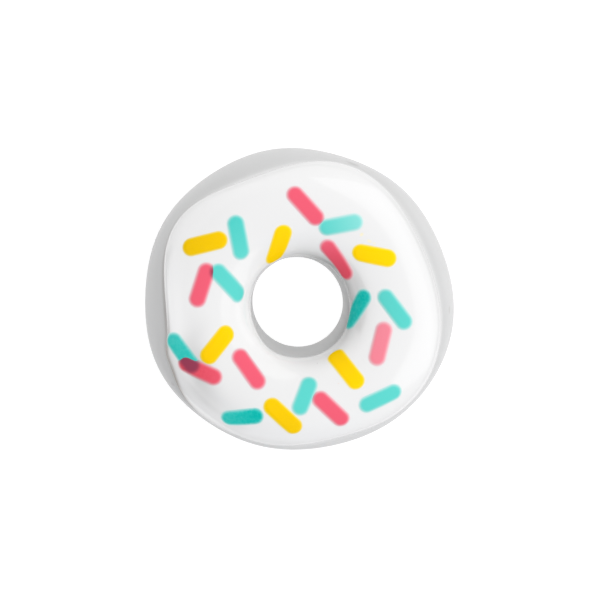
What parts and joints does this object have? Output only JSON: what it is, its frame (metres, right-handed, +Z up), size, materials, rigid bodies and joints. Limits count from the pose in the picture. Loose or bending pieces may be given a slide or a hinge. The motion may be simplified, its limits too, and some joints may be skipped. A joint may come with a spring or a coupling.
{
  "type": "sprinkle frosted doughnut",
  "caption": "Ring doughnut lying flat, a glossy model copy: satin grey ring, smooth wavy cap of white icing, short pink, teal and yellow sprinkles.",
  "frame": {"origin": "middle of the bounding box's underside, on the surface the doughnut lies on, under its hole", "axes": "+Z up through the hole towards the iced side; +X and +Y across the ring, with +X to the right and +Y away as the part is looked at from above"},
  "size_m": [0.0928, 0.0906, 0.0314],
  "materials": {
    "ring_satin_grey": "satin pale grey, finely grained",
    "icing_glossy_white": "smooth glossy white",
    "sprinkle_pink": "smooth glossy coral pink",
    "sprinkle_teal": "smooth glossy light teal",
    "sprinkle_yellow": "smooth glossy warm yellow"
  },
  "bodies": {
    "root": {"dough_ring": "ring_satin_grey", "icing_with_sprinkles": "icing_glossy_white"}
  },
  "joints": []
}
